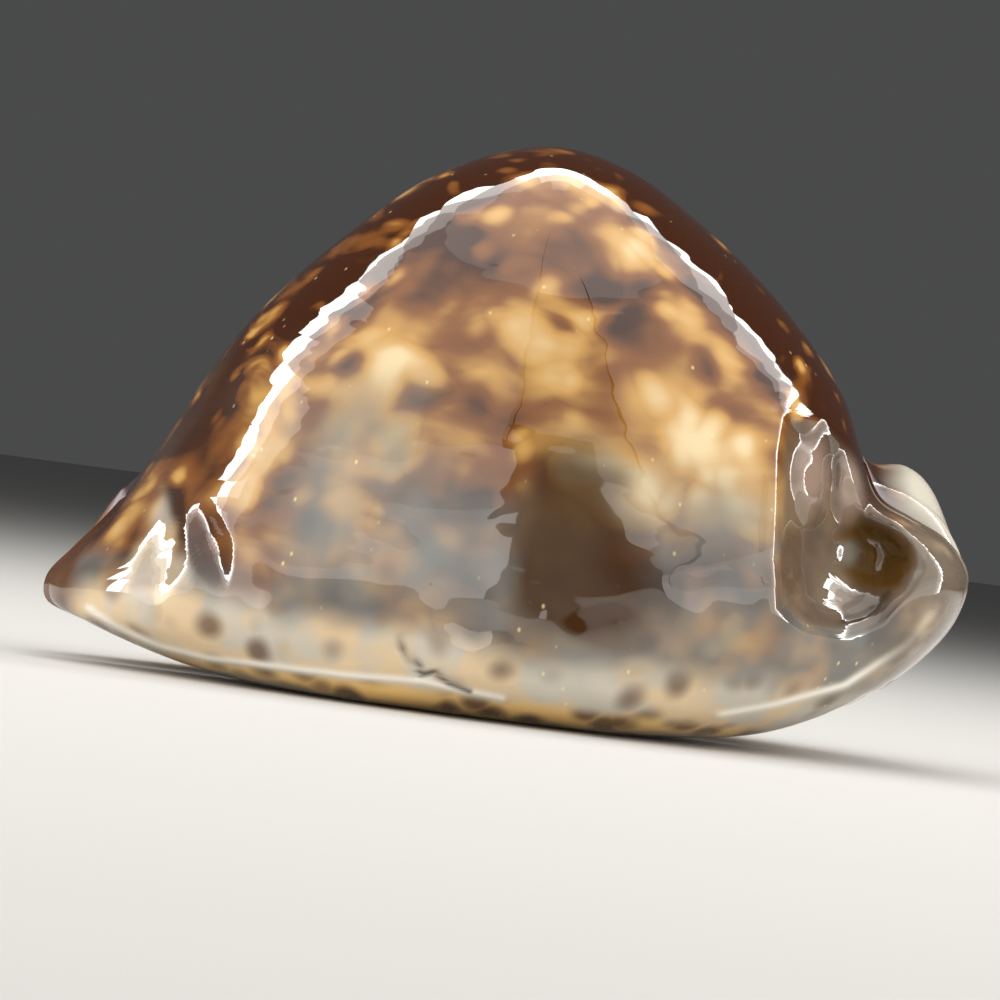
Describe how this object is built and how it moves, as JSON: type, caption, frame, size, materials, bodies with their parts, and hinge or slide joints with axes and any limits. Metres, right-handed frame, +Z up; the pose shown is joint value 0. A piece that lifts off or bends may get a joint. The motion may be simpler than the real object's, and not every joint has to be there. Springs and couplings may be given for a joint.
{
  "type": "reticulated cowrie shell",
  "caption": "Glossy hump-backed cowrie shell with a netted brown back, swollen end lips and a narrow toothed mouth along its base.",
  "frame": {"origin": "under the middle of the shell, on the surface that its base rests on", "axes": "+X towards the rear (spire) end, +Y towards the outer lip, +Z up from the base to the hump"},
  "size_m": [0.067, 0.0444, 0.0421],
  "materials": {
    "shell": "natural enamel, high gloss"
  },
  "bodies": {
    "root": {"shell": "shell"}
  },
  "joints": []
}
